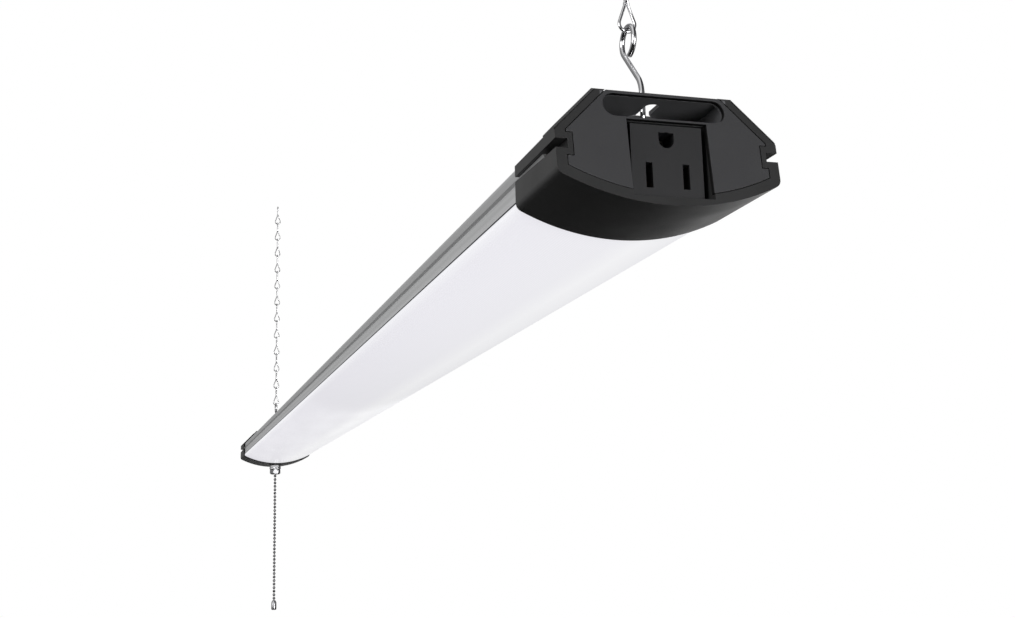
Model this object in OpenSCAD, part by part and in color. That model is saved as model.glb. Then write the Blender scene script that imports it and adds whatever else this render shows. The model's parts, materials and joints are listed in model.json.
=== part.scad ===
// Linkable hanging shop light: an aluminium channel with a curved milky cover, a black cap at
// each end, two wire hooks, two jack chains and a pull-chain switch.
// The lamp runs along X with its outlet end at +X and faces down. The origin is the bearing
// point of the outlet end's chain, at the inner crown of its top link. Millimetres.

/* [Lamp] */
// Length of the whole lamp over both caps
lamp_len = 1168; // [500:1:1500]
// Width of the lamp over the caps
lamp_w = 75.9; // [70:0.1:84]
// Width of the flat top of the caps
top_w = 48.4; // [48:0.1:50]
// Height of the flat top above the lower lip of the side slots
crown_h = 21.5; // [21:0.1:24]
// Height of the shoulder where the side starts to slope in
kink_h = 7.5; // [6.8:0.1:8.2]
// Depth of the belly below the lower lip of the side slots
belly_h = 17.2; // [16:0.1:20]
// Radius of the curved belly across the lamp
belly_r = 82; // [76:0.5:100]
// Radius of the lower corners
corner_r = 3; // [2:0.1:3.5]

/* [End caps] */
// Length of each cap along the lamp, measured level with the side slots
cap_len = 42.5; // [41:0.5:46]
// Wall thickness of the caps
cap_wall = 1.4; // [1.2:0.1:1.6]
// Lean of the caps' front faces, with the top set back
face_tilt = 7.5; // [5:0.5:8]
// Length of the full-size band behind the front face
band_len = 12; // [10:0.5:14]
// Step in the slopes from the front band to the sleeve behind it
band_step = 0.4; // [0.2:0.1:0.6]
// Width of the bevel where the face meets the slopes
face_bevel = 0.8; // [0.6:0.05:1.5]
// Width of the rim round the face plate
rim_w = 3.5; // [3.2:0.1:4]
// Width of the rim along the sloped edges, with the bevel
slope_rim_w = 3.3; // [3.1:0.1:3.8]
// Thickness of the face plates
plate_t = 2.2; // [1.8:0.1:2.6]
// Height of the side slots
slot_h = 3.1; // [2.5:0.1:3.5]
// Depth of the notch that each slot makes in the rim
notch_depth = 4; // [3.5:0.1:4.5]
// Length of the hook pocket behind the face
pocket_len = 34; // [33.5:0.5:34.5]
// Half the width of the long opening in the face
opening_half_w = 21; // [19:0.1:21.5]
// Floor of the long opening above the lower lip of the side slots
opening_floor_h = 12.3; // [12.2:0.1:13]

/* [Extrusion and cover] */
// Wall thickness of the aluminium channel
channel_wall = 1.3; // [1.1:0.1:1.6]
// Side wall thickness of the channel
channel_side = 2; // [1.8:0.1:2.3]
// Depth of the groove along each side
groove_depth = 0.6; // [0.4:0.1:0.9]
// Depth of the channel's lower edge below the slot's lower lip
channel_drop = 4.4; // [4:0.1:5]
// Distance from a cap's face to the end of the channel
channel_setback = 17; // [15:0.5:20]
// Distance from a cap's face to the end of the cover
cover_setback = 35.5; // [35:0.5:37]
// Wall thickness of the milky cover
cover_t = 1.5; // [1.2:0.1:1.6]
// Thickness of the web that carries the light boards
web_t = 1.2; // [1:0.1:1.6]

/* [Lights and driver] */
// Width of each light board
board_w = 18; // [14:0.5:20]
// Thickness of each light board
board_t = 1; // [0.8:0.1:1.2]
// Distance of each board's centre line from the middle of the lamp
board_y = 15; // [13:0.5:17]
// Number of LEDs on each board
led_count = 48; // [12:1:60]
// Length of the driver board
driver_len = 150; // [130:1:200]
// Width of the driver board
driver_w = 26; // [24:0.5:28]

/* [Outlet] */
// Distance between the two blade slots
blade_pitch = 12.7; // [12.4:0.1:13]
// Width of a blade slot
blade_w = 2.3; // [2:0.1:2.5]
// Height of a blade slot
blade_h = 8.2; // [7.5:0.1:8.5]
// Width of the ground hole
ground_w = 5.2; // [4.8:0.1:5.4]
// Width of the outlet block's face
block_w = 24.6; // [23.5:0.1:25]
// Height of the outlet block's face
block_h = 23.6; // [23:0.1:23.8]
// Depth of the outlet block behind the face
block_depth = 26; // [24:0.5:28]
// Width of the window in the face plate
window_w = 27.6; // [27.2:0.1:28.5]

/* [Chains and hooks] */
// Number of links in each chain
link_count = 12; // [5:1:20]
// Inner height of a link
link_h = 20.3; // [18:0.1:24]
// Outer width of a link's loops
link_w = 6.9; // [6.6:0.1:7.4]
// Wire diameter of the chain
link_wire = 1.1; // [1:0.05:1.3]
// Distance of each chain from the outer end of its cap
chain_inset = 31.4; // [31:0.1:32]
// Wire diameter of the hooks
hook_wire = 1.9; // [1.7:0.1:2.1]
// Radius of a hook's eye at the middle of the wire
eye_r = 5.3; // [5:0.1:6.2]
// Height of a hook from its seat to the inner crown of its eye
hook_h = 37.2; // [36.5:0.1:42]
// Radius of a hook's lower bend at the middle of the wire
seat_r = 4.2; // [4:0.1:4.5]

/* [Pull switch] */
// Distance of the pull switch from the end of its cap
pull_inset = 26; // [25:0.5:27]
// Diameter of the knurled nut
nut_d = 12.8; // [11.5:0.1:13]
// Diameter of the switch's threaded bushing
bushing_d = 10; // [9:0.1:10.4]
// Diameter of the ball chain's beads
bead_d = 3.2; // [2.8:0.1:3.4]
// Spacing of the beads
bead_pitch = 4; // [3.9:0.01:4.6]
// Number of beads that hang below the top one
bead_count = 35; // [10:1:60]
// Travel of the pull chain
pull_travel = 8; // [5:0.5:8]

/* [Hidden] */
$fn = 48;

// Overrun of cuts, and the usual gaps
cut = 1;
fit_gap = 0.1;
seat_gap = 0.15;
cover_gap = 0.3;
plate_gap = 0.25;
min_corner_r = 0.2;

// Cross-section of the lamp
half_w = lamp_w / 2;
top_half = top_w / 2;
slope_angle = atan2(crown_h - kink_h, half_w - top_half);
belly_z = belly_r - belly_h;
body_in = cap_wall + fit_gap;
body_half = half_w - body_in;
tilt_run = tan(face_tilt);
belly_reach = belly_h * tilt_run;
belly_steps = 26;
corner_steps = 5;

// Places along the lamp, as X in the shared frame
face_x = chain_inset - belly_reach;
far_face_x = chain_inset - lamp_len + belly_reach;
far_x = 2 * chain_inset - lamp_len;
channel_len = face_x - far_face_x - 2 * channel_setback;
cover_len = face_x - far_face_x - 2 * cover_setback;

// The chain: inner crown and inner foot of each link, counted from 1 at the top
function link_top(i) = -(i - 1) * (link_h - seat_gap);
function link_foot(i) = link_top(i) - link_h;
loop_r = (link_w - link_wire) / 2;
waist_half = link_wire / 2;
waist_h = 1.6;
waist_d = 2.3;

// The hook, with z measured in the shared frame
eye_crown_z = link_foot(link_count) + seat_gap;
eye_z = eye_crown_z - eye_r + hook_wire / 2;
seat_z = eye_crown_z - hook_h;
seat_x = 5.5;
shank_x = seat_x + seat_r;
hook_slope = 48;
hook_bend_r = 10;
hook_tip_h = 4;
eye_end_angle = -80;
eye_leave_angle = 270 - hook_slope;

// The bar in the cap's top that the hook carries, and the lamp's height under it
bar_r = 2;
bar_sink = 0.3;
lamp_z = seat_z + seat_gap + 2 * bar_r + bar_sink - crown_h;
hook_hole_w = 9;
hook_hole_x0 = -2.6;
hook_hole_x1 = 10;
hook_slot_w = 4.6;
hook_slot_x1 = 19.5;

// The cap's inside
ledge_w = 1.2;
ledge_t = 4.2;
partition_t = 0.75;
pocket_wall = 1.2;
pocket_half = opening_half_w + pocket_wall;
pocket_ceiling = crown_h - cap_wall;
opening_r = (pocket_ceiling - opening_floor_h) / 2;
notch_floor_t = 0.9;
notch_web_t = 0.9;
notch_rim_t = 1.7;
notch_rim_h = 2.2;
slot_rise = 1.4;
bevel_top = 0.4;
bevel_skin = 0.05;
rim_line_in = 0.75;
rim_line_w = 0.3;
rim_line_depth = 0.5;
rail_t = 1.2;
rail_gap = 0.15;

// The channel's ends are milled open over the middle, for the pocket and the outlet
mill_half = 24;
mill_margin = 1.8;
mill_len = pocket_len + mill_margin - channel_setback;
web_mill_len = 39;
groove_run = 2.2;
web_z = -0.6;
leg_t = 1.3;
leg_top = -1.2;
shoulder_t = 1.5;

// Light boards, driver and wiring
board_end_gap = 3;
led_len = 3.5;
led_w = 2.8;
led_h = 0.7;
board_screw_d = 5;
board_screw_h = 0.9;
board_screw_count = 5;
board_screw_shift = 5.6;
tray_t = 0.8;
tray_h = 11;
tray_y = 7;
driver_inset = 190;
driver_x = far_face_x + driver_inset;
driver_board_t = 1.6;
standoff_h = 1.2;
standoff_d = 3;
// Places along the driver's board as shares of its length, and across it in millimetres
standoff_shares = [0.08, 0.92];
standoff_y = 9;
transformer_share = 0.55;
core_size = [18, 16, 2];
coil_size = [14, 16, 8];
capacitor_shares = [0.2, 0.3, 0.85];
capacitor_y = [-6, 6, 2];
capacitor_d = 8;
capacitor_h = 10;
chip_share = 0.4;
chip_size = [6, 5, 1.6];
bridge_share = 0.7;
bridge_y = 6;
bridge_size = [10, 4, 4];
wire_d = 2.2;
wire_z = 1.8;
wire_y = [-11.5, -15, -18.5];
wire_drop_len = 18;
wire_tail_len = 4;
joint_ball = 1.2;
lead_d = 1.6;
lead_y = 2;
lead_pitch = 5;
driver_lead_lap = 8;
board_hole_gap = 22;
board_hole_x = driver_x + driver_len + board_hole_gap;
board_hole_d = 4;
board_hole_y = 8.5;
terminal_inset = 64;
terminal_x = far_face_x + terminal_inset;
terminal_len = 16;
terminal_w = 32;
terminal_h = 9;
terminal_y = -8;

// Outlet
block_x = -2.1;
block_top = 10.3;
block_step = 3;
block_shoulder_gap = 0.4;
window_top = opening_floor_h - partition_t;
window_foot = -14.4;
window_shift = 0.25;
blade_top = -2.2;
ground_top = 7.9;
ground_foot = 2.9;
contact_t = 0.6;
contact_gap = 0.1;
contact_len = 14;
contact_back = 3;
contact_h = 7;
cavity_x = 7;
tab_len = 5;
tab_w = 3;
tube_wall = 0.5;

// Pull switch
pull_x = far_face_x + pull_inset;
nut_h = 5;
collar_d = 11.4;
collar_h = 5.6;
bushing_bore_d = 4.6;
lock_nut_h = 2.4;
lock_nut_d = 14;
switch_l = 24;
switch_w = 20;
switch_h = 16;
switch_wall = 1.4;
stem_d = 3.6;
stem_head_d = 10;
stem_head_h = 1.5;
stem_out = 0.3;
chain_wire_r = 0.5;
bead_gap = 0.2;
// How far the flat lock nut stands off the curved wall, and where the switch sits on it
lock_lift = pow(lock_nut_d / 2, 2) / (2 * (belly_r - cap_wall)) + fit_gap;
switch_z = -belly_h + cap_wall + lock_lift + lock_nut_h;
nozzle_z = -belly_h - nut_h - collar_h;
bead_z = nozzle_z - stem_out - bead_gap - bead_d / 2;
fob_d = 5.8;
fob_h = 11;
fob_neck_d = 4;
fob_neck_h = 2;

// Cord bushing
bushing_hole_r = 6.2;
bushing_flange_r = 8.2;
bushing_flange_t = 2.4;
bushing_bore_r = 3.9;
bushing_tail = 12;
bushing_ring_t = 1.5;
bushing_share = 0.53;
bushing_y = -bushing_share * half_w;
bushing_h = 1;

// Cap screws
screw_y = 16;
screw_setback = 38.6;
screw_d = 2.9;
screw_head_d = 5.6;
screw_head_h = 1.8;
screw_len = 2.6;

// Outline of the lamp's section in Y and Z, set in by d all round, by s more on the slopes and
// by t more at the top
function outline(d, s = 0, t = 0) =
    let (r = max(corner_r - d, min_corner_r),
         cy = half_w - d - r,
         cz = belly_z - sqrt(pow(belly_r - d - r, 2) - cy * cy),
         start = 180 + atan((belly_z - cz) / cy),
         top_y = top_half - d * tan(slope_angle / 2) - s / sin(slope_angle) + t / tan(slope_angle),
         side_z = kink_h - d * tan((90 - slope_angle) / 2) - s / cos(slope_angle))
    concat(
        [[top_y, crown_h - d - t], [-top_y, crown_h - d - t], [-half_w + d, side_z]],
        [for (i = [0 : corner_steps])
            let (a = 180 + (start - 180) * i / corner_steps)
            [-cy + r * cos(a), cz + r * sin(a)]],
        [for (i = [1 : belly_steps - 1])
            let (a = start + (540 - 2 * start) * i / belly_steps)
            [(belly_r - d) * cos(a), belly_z + (belly_r - d) * sin(a)]],
        [for (i = [corner_steps : -1 : 0])
            let (a = 360 - (start - 180) * i / corner_steps)
            [cy + r * cos(a), cz + r * sin(a)]],
        [[half_w - d, side_z]]);

// A solid along X from x0 to x1 with the children as its section in Y and Z
module along(x0, x1) {
    translate([x0, 0, 0]) rotate([90, 0, 90]) linear_extrude(x1 - x0) children();
}

// A box given by its two corners
module box(low, high) {
    translate(low) cube(high - low);
}

// A round rod from p to q
module rod(p, q, d) {
    v = q - p;
    translate(p)
        rotate([0, atan2(norm([v.x, v.y]), v.z), atan2(v.y, v.x)])
            cylinder(d = d, h = norm(v));
}

// A wire through the points
module wire(points, d) {
    for (i = [0 : len(points) - 2]) rod(points[i], points[i + 1], d);
    for (i = [1 : len(points) - 2]) translate(points[i]) sphere(d = d * joint_ball);
}

// A bent piece of wire in the XZ plane, from angle a0 to a1 about the centre
module bend(x, z, r, a0, a1, d) {
    translate([x, 0, z])
        rotate([90, 0, 0])
            rotate([0, 0, a0])
                rotate_extrude(angle = a1 - a0) translate([r, 0]) circle(d = d);
}

// Places its children in the lamp's own frame: face of the outlet cap at X 0, slot lip at Z 0
module at_outlet() {
    translate([face_x, 0, lamp_z]) children();
}

// The same at the switch end, turned round so that X runs out of that cap's face
module at_switch() {
    translate([far_face_x, 0, lamp_z]) mirror([1, 0, 0]) children();
}

// A slab behind the leaning face, from depth d0 to depth d1 under it
module face_slab(d0, d1) {
    rotate([0, -face_tilt, 0])
        box([-d1, -lamp_w, -lamp_w], [-d0, lamp_w, lamp_w]);
}

// Everything that lies in front of a plane d under the leaning face
module in_front(d) {
    face_slab(-lamp_w, d);
}

// Chains

// One end loop of a link in the YZ plane, foot down, with the link's waist at Z 0
module link_loop() {
    foot = -link_h / 2 - link_wire / 2 + loop_r;
    lean = asin((loop_r - waist_half) / -foot);
    for (side = [-1, 1])
        rod([0, side * loop_r * cos(lean), foot + loop_r * sin(lean)],
            [0, side * waist_half, 0], link_wire);
    rotate([0, 0, 90])
        bend(0, foot, loop_r, -180 - lean, lean, link_wire);
}

// One link, hanging with its inner crown at Z 0
module chain_link() {
    translate([0, 0, -link_h / 2]) {
        link_loop();
        rotate([0, 0, 90]) mirror([0, 0, 1]) link_loop();
        translate([0, 0, -waist_h / 2]) cylinder(d = waist_d, h = waist_h);
    }
}

module links(x, first, last) {
    color("silver")
        for (i = [first : last]) translate([x, 0, link_top(i)]) chain_link();
}

// Hooks

// A hook with its eye over X 0, its shank towards +X and its seat under the bar
module hook() {
    leave = [eye_r * cos(eye_leave_angle), eye_z + eye_r * sin(eye_leave_angle)];
    run = (shank_x - leave.x - hook_bend_r * (1 - sin(hook_slope))) / cos(hook_slope);
    bend_start = leave + run * [cos(hook_slope), -sin(hook_slope)];
    bend_z = bend_start.y - hook_bend_r * cos(hook_slope);
    seat_c = seat_z - hook_wire / 2 + seat_r;
    tip_x = seat_x - seat_r;
    joints = [leave, bend_start, [shank_x, bend_z], [shank_x, seat_c], [tip_x, seat_c]];
    color("gainsboro") {
        bend(0, eye_z, eye_r, eye_end_angle, eye_leave_angle, hook_wire);
        rod([leave.x, 0, leave.y], [bend_start.x, 0, bend_start.y], hook_wire);
        bend(shank_x - hook_bend_r, bend_z, hook_bend_r, 0, 90 - hook_slope, hook_wire);
        rod([shank_x, 0, bend_z], [shank_x, 0, seat_c], hook_wire);
        bend(seat_x, seat_c, seat_r, -180, 0, hook_wire);
        rod([tip_x, 0, seat_c], [tip_x, 0, seat_c + hook_tip_h], hook_wire);
        for (p = joints) translate([p.x, 0, p.y]) sphere(d = hook_wire * joint_ball);
    }
}

module near_hook() {
    hook();
}

module far_hook() {
    translate([far_x, 0, 0]) mirror([1, 0, 0]) hook();
}

// Caps

// A flat slot with round ends, r across, between two points on a line along X or Y
module slot_section(from, to, r) {
    run = to - from;
    for (p = [from, to]) translate(p) circle(r);
    translate((from + to) / 2)
        square([abs(run.x) + (run.x == 0 ? 2 * r : 0), abs(run.y) + (run.y == 0 ? 2 * r : 0)],
               center = true);
}

// A hole w wide through the cap's top from x0 to x1, counted from the chain's line
module top_hole(x0, x1, w) {
    r = min(w, x1 - x0) / 2;
    shift = belly_reach - chain_inset;
    side_run = w / 2 - r;
    end_run = (x1 - x0) / 2 - r;
    translate([shift + (x0 + x1) / 2, 0, crown_h - cap_wall - cut / 2])
        linear_extrude(cap_wall + cut)
            slot_section([-end_run, -side_run], [end_run, side_run], r);
}

// The long opening's section in Y and Z
module opening_section() {
    z = opening_floor_h + opening_r;
    y = opening_half_w - opening_r;
    slot_section([-y, z], [y, z], opening_r);
}

// The solid body of a cap: sleeve, front band and the bevel round its leaning face
module cap_body() {
    along(-cap_len, -band_len) polygon(outline(0, band_step));
    difference() {
        along(-band_len, belly_reach + cut) polygon(outline(0));
        in_front(face_bevel);
    }
    hull() {
        intersection() {
            along(-band_len, belly_reach + cut) polygon(outline(0));
            face_slab(face_bevel, face_bevel + bevel_skin);
        }
        intersection() {
            along(-band_len, belly_reach + cut) polygon(outline(0, face_bevel, bevel_top));
            face_slab(0, bevel_skin);
        }
    }
}

// The hook pocket behind the long opening: floor, two sides and a back wall
module pocket_walls() {
    floor_z = opening_floor_h - partition_t;
    top_z = crown_h - cap_wall / 2;
    box([-pocket_len, -pocket_half, floor_z], [-ledge_t, pocket_half, opening_floor_h]);
    box([-pocket_len, -pocket_half, floor_z], [-pocket_len + pocket_wall, pocket_half, top_z]);
    for (side = [-1, 1]) translate([0, side * (pocket_half - pocket_wall / 2), 0])
        box([-pocket_len, -pocket_wall / 2, floor_z], [-ledge_t, pocket_wall / 2, top_z]);
}

// The rim round a side notch, and the floor and webs that close the slot behind it
module notch_walls() {
    notch_in = half_w - notch_depth;
    box([-channel_setback + fit_gap, notch_in - notch_floor_t, -notch_web_t],
        [-ledge_t, half_w - cap_wall / 2, slot_h + notch_web_t]);
    box([-ledge_t - cap_wall, notch_in - notch_rim_t, -notch_rim_h],
        [belly_reach, half_w - cap_wall, slot_h + notch_rim_h]);
}

// The fine line along each sloping edge of the leaning face
module rim_lines() {
    slope_run = (half_w - top_half) / cos(slope_angle);
    intersection() {
        in_front(rim_line_depth);
        for (side = [0, 1]) mirror([0, side, 0])
            translate([-band_len, top_half, crown_h]) rotate([-slope_angle, 0, 0])
                box([0, -rim_w, -rim_line_in - rim_line_w],
                    [band_len + 2 * belly_reach, slope_run + rim_w, -rim_line_in]);
    }
}

// A side slot, whose lower lip climbs from the rim to the sleeve's end
module side_slot() {
    translate([0, half_w + cut, 0]) rotate([90, 0, 0])
        linear_extrude(notch_depth + cut)
            polygon([[-cap_len - cut, slot_rise], [-ledge_t, 0], [belly_reach, 0],
                     [belly_reach, slot_h], [-cap_len - cut, slot_h]]);
}

// The cap shell, the same moulding at both ends, with its face at X 0 and its sleeve to -X
module cap_shell() {
    wall_x = -ledge_t - cap_wall;
    bar_x = belly_reach - chain_inset + seat_x;
    translate([bar_x, hook_hole_w / 2 + cap_wall, crown_h - bar_r - bar_sink])
        rotate([90, 0, 0]) cylinder(r = bar_r, h = hook_hole_w + 2 * cap_wall);
    difference() {
        union() {
            difference() {
                cap_body();
                along(-cap_len - cut, wall_x) polygon(outline(cap_wall));
                along(wall_x - cut / 2, belly_reach + cut)
                    polygon(outline(rim_w + ledge_w, slope_rim_w - rim_w));
                along(wall_x - cut, belly_reach + cut) opening_section();
            }
            pocket_walls();
            for (side = [0, 1]) mirror([0, side, 0]) notch_walls();
        }
        intersection() {
            in_front(plate_t);
            along(-band_len, belly_reach + 2 * cut) plate_section(0);
        }
        top_hole(hook_hole_x0, hook_hole_x1, hook_hole_w);
        top_hole(seat_x, hook_slot_x1, hook_slot_w);
        for (side = [0, 1]) mirror([0, side, 0]) side_slot();
        in_front(0);
        rim_lines();
        for (side = [-1, 1])
            translate([-screw_setback, side * screw_y, crown_h - cap_wall - cut / 2])
                cylinder(d = screw_d + 2 * fit_gap, h = cap_wall + cut);
    }
}

// The face plate's section: the rim's inner outline, stepped in at the side notches
module plate_section(gap) {
    rim = outline(rim_w + gap, slope_rim_w - rim_w);
    top_y = top_half - (slope_rim_w + gap) / sin(slope_angle);
    step = notch_depth + notch_rim_t + gap;
    difference() {
        polygon(concat([[top_y, crown_h], [-top_y, crown_h]],
                       [for (i = [2 : len(rim) - 1]) rim[i]]));
        for (side = [-1, 1])
            translate([side * (half_w - step / 2), slot_h / 2])
                square([step, slot_h + 2 * (notch_rim_h + gap)], center = true);
    }
}

module face_plate_body() {
    intersection() {
        face_slab(0, plate_t - fit_gap);
        difference() {
            along(-band_len, belly_reach + cut) plate_section(plate_gap);
            along(-band_len - cut, belly_reach + 2 * cut) opening_section();
            along(-band_len - cut, belly_reach + 2 * cut)
                translate([-half_w, crown_h - bevel_top]) square([lamp_w, lamp_w]);
        }
    }
}

module window_cut() {
    translate([0, window_shift, 0])
        box([block_x - block_step - cut, -window_w / 2, window_foot],
            [belly_reach + 2 * cut, window_w / 2, window_top]);
}

// A rail beside the outlet block, from the belly's wall up to the pocket's floor and forward to
// the back of the face plate
module outlet_rail() {
    y = window_w / 2 + rail_gap;
    difference() {
        intersection() {
            box([block_x - block_depth, y, -belly_h],
                [belly_reach, y + rail_t, opening_floor_h - cut / 10]);
            along(-cap_len, belly_reach) polygon(outline(cap_wall / 2));
        }
        in_front(plate_t);
    }
}

module outlet_cap() {
    color([0.1, 0.1, 0.11])
        at_outlet() difference() {
            union() {
                cap_shell();
                for (side = [0, 1]) mirror([0, side, 0]) outlet_rail();
            }
            window_cut();
        }
}

module outlet_face_plate() {
    color([0.16, 0.16, 0.17])
        at_outlet() difference() {
            face_plate_body();
            window_cut();
        }
}

module switch_cap() {
    color([0.1, 0.1, 0.11])
        at_switch() difference() {
            cap_shell();
            translate([-pull_inset, 0, -belly_h - cut])
                cylinder(d = bushing_d + 2 * fit_gap, h = cap_wall + belly_h / 2);
        }
}

// Stands its children on the leaning face at y and z
module on_face(y, z) {
    translate([-tilt_run * z, y, z]) rotate([0, 90 - face_tilt, 0]) children();
}

module switch_face_plate() {
    color([0.16, 0.16, 0.17])
        at_switch() difference() {
            face_plate_body();
            on_face(bushing_y, bushing_h) translate([0, 0, -band_len])
                cylinder(r = bushing_hole_r, h = 2 * band_len);
        }
}

module cord_bushing() {
    color([0.12, 0.12, 0.12])
        at_switch() on_face(bushing_y, bushing_h) difference() {
            union() {
                cylinder(r = bushing_flange_r, h = bushing_flange_t);
                translate([0, 0, -plate_t])
                    cylinder(r = bushing_hole_r - fit_gap, h = plate_t + bushing_flange_t / 2);
                translate([0, 0, -plate_t - bushing_ring_t])
                    cylinder(r = bushing_flange_r - ledge_w, h = bushing_ring_t);
                translate([0, 0, -bushing_tail])
                    cylinder(r = bushing_bore_r + cap_wall, h = bushing_tail);
            }
            translate([0, 0, -bushing_tail - cut])
                cylinder(r = bushing_bore_r, h = 2 * bushing_tail);
        }
}

module cap_screws() {
    for (side = [-1, 1]) translate([-screw_setback, side * screw_y, crown_h]) {
        cylinder(d = screw_head_d, h = screw_head_h);
        translate([0, 0, -screw_len]) cylinder(d = screw_d, h = screw_len + fit_gap);
    }
}

module outlet_cap_screws() {
    color("dimgray") at_outlet() cap_screws();
}

module switch_cap_screws() {
    color("dimgray") at_switch() cap_screws();
}

// Outlet

module ground_section(grow) {
    r = ground_w / 2 + grow;
    translate([0, ground_foot + ground_w / 2]) circle(r);
    translate([-r, ground_foot + ground_w / 2])
        square([2 * r, ground_top - ground_foot - ground_w / 2 + grow]);
}

module outlet_block() {
    foot = block_top - block_h;
    shoulder_w = window_w / 2 - block_shoulder_gap;
    cavity_h = contact_h + 2 * contact_gap;
    cavity_half = blade_w / 2 + contact_t + 2 * contact_gap;
    color([0.13, 0.13, 0.14])
        at_outlet() difference() {
            union() {
                box([block_x - block_step, -block_w / 2, foot], [block_x, block_w / 2, block_top]);
                box([block_x - block_depth, -shoulder_w, foot],
                    [block_x - block_step, shoulder_w, block_top]);
            }
            for (side = [-1, 1]) translate([block_x, side * blade_pitch / 2, blade_top]) {
                box([-cavity_x - cut, -blade_w / 2, -blade_h], [cut, blade_w / 2, 0]);
                box([-block_depth - cut, -cavity_half, -(blade_h + cavity_h) / 2],
                    [-cavity_x, cavity_half, -(blade_h - cavity_h) / 2]);
            }
            along(block_x - cavity_x - cut, block_x + cut) ground_section(0);
            along(block_x - block_depth - cut, block_x - cavity_x)
                ground_section(tube_wall + contact_gap);
        }
}

// A blade contact: two leaves joined at the back, with a tab for its wire
module blade_contact(side) {
    back = -block_depth + contact_back;
    leaf_y = blade_w / 2 + contact_gap;
    color("goldenrod")
        at_outlet() translate([block_x, side * blade_pitch / 2, blade_top - blade_h / 2]) {
            for (leaf = [-1, 1])
                translate([0, leaf * (leaf_y + contact_t / 2), 0])
                    box([back, -contact_t / 2, -contact_h / 2],
                        [back + contact_len, contact_t / 2, contact_h / 2]);
            box([back, -leaf_y - contact_t, -contact_h / 2],
                [back + contact_t, leaf_y + contact_t, contact_h / 2]);
            box([back - contact_back - tab_len, -tab_w / 2, -contact_t / 2],
                [back + contact_t, tab_w / 2, contact_t / 2]);
        }
}

module line_contact() {
    blade_contact(1);
}

module neutral_contact() {
    blade_contact(-1);
}

module ground_contact() {
    back = -block_depth + contact_back;
    mid = (ground_top + ground_foot) / 2;
    color("goldenrod")
        at_outlet() translate([block_x, 0, 0]) {
            difference() {
                along(back, back + contact_len) ground_section(tube_wall);
                along(back + contact_t, back + contact_len + cut) ground_section(0);
            }
            box([back - contact_back - tab_len, -tab_w / 2, mid - contact_t / 2],
                [back + contact_t, tab_w / 2, mid + contact_t / 2]);
        }
}

// Channel and cover

module channel_section() {
    skin = outline(body_in);
    inner = outline(body_in + channel_wall);
    last = len(skin) - 1;
    side_in = body_half - channel_side;
    web_top = web_z + web_t;
    difference() {
        polygon([skin[0], skin[1], skin[2],
                 [-body_half, slot_h], [groove_depth - body_half, slot_h - groove_run / 2],
                 [-body_half, slot_h - groove_run], [-body_half, -channel_drop],
                 [body_half, -channel_drop], [body_half, slot_h - groove_run],
                 [body_half - groove_depth, slot_h - groove_run / 2], [body_half, slot_h],
                 skin[last]]);
        intersection() {
            polygon([inner[0], inner[1], inner[2], [inner[2].x, web_top],
                     [inner[last].x, web_top], inner[last]]);
            translate([-side_in, web_top]) square([2 * side_in, crown_h]);
        }
        translate([-side_in, -channel_drop - cut]) square([2 * side_in, channel_drop + cut + web_z]);
    }
}

module channel() {
    x1 = -channel_setback;
    color("darkgray")
        at_outlet() difference() {
            along(x1 - channel_len, x1) channel_section();
            for (x = [x1 - mill_len, x1 - channel_len - cut])
                box([x, -mill_half, web_z], [x + mill_len + cut, mill_half, crown_h]);
            for (x = [x1 - web_mill_len, x1 - channel_len - cut])
                box([x, -mill_half, web_z - cut],
                    [x + web_mill_len + cut, mill_half, web_z + web_t + cut]);
            for (side = [-1, 1])
                translate([board_hole_x - face_x, side * board_hole_y, web_z - cut])
                    cylinder(d = board_hole_d, h = web_t + 2 * cut);
            for (x = [-screw_setback, x1 - channel_len + screw_setback - channel_setback],
                 side = [-1, 1])
                translate([x, side * screw_y, crown_h - body_in - channel_wall - cut / 2])
                    cylinder(d = screw_d + 2 * fit_gap, h = channel_wall + cut);
        }
}

module cover_section() {
    top = -channel_drop - cover_gap;
    leg_out = body_half - channel_side - fit_gap;
    difference() {
        polygon(outline(body_in));
        polygon(outline(body_in + cover_t));
        translate([-half_w, top]) square([lamp_w, lamp_w]);
    }
    for (side = [-1, 1]) mirror([side < 0 ? 1 : 0, 0]) {
        translate([leg_out - leg_t, top - shoulder_t])
            square([body_half - leg_out + leg_t - cover_t / 2, shoulder_t]);
        translate([leg_out - leg_t, top - shoulder_t])
            square([leg_t, leg_top - top + shoulder_t]);
    }
}

module cover() {
    color("whitesmoke")
        at_outlet() along(-cover_setback - cover_len, -cover_setback) cover_section();
}

// Lights

board_x1 = face_x - channel_setback - web_mill_len - board_end_gap;
board_x0 = far_face_x + channel_setback + web_mill_len + board_end_gap;

module light_board(side) {
    color("white") translate([0, side * board_y, lamp_z])
        box([board_x0, -board_w / 2, web_z - board_t], [board_x1, board_w / 2, web_z]);
}

module leds(side) {
    pitch = (board_x1 - board_x0) / led_count;
    color("khaki")
        for (i = [0 : led_count - 1])
            translate([board_x0 + pitch * (i + 0.5), side * board_y, lamp_z + web_z - board_t - led_h])
                box([-led_len / 2, -led_w / 2, 0], [led_len / 2, led_w / 2, led_h]);
}

module front_light_board() {
    light_board(-1);
}

module back_light_board() {
    light_board(1);
}

module front_leds() {
    leds(-1);
}

module back_leds() {
    leds(1);
}

module board_screws() {
    y = board_y + board_w / 2 - board_screw_d;
    pitch = (board_x1 - board_x0) / board_screw_count;
    color("silver")
        for (i = [0 : board_screw_count - 1], side = [-1, 1])
            translate([board_x0 + pitch * (i + 0.5) + board_screw_shift, side * y,
                       lamp_z + web_z - board_t - board_screw_h])
                cylinder(d = board_screw_d, h = board_screw_h);
}

// Driver and wiring

web_top_z = lamp_z + web_z + web_t;

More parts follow.
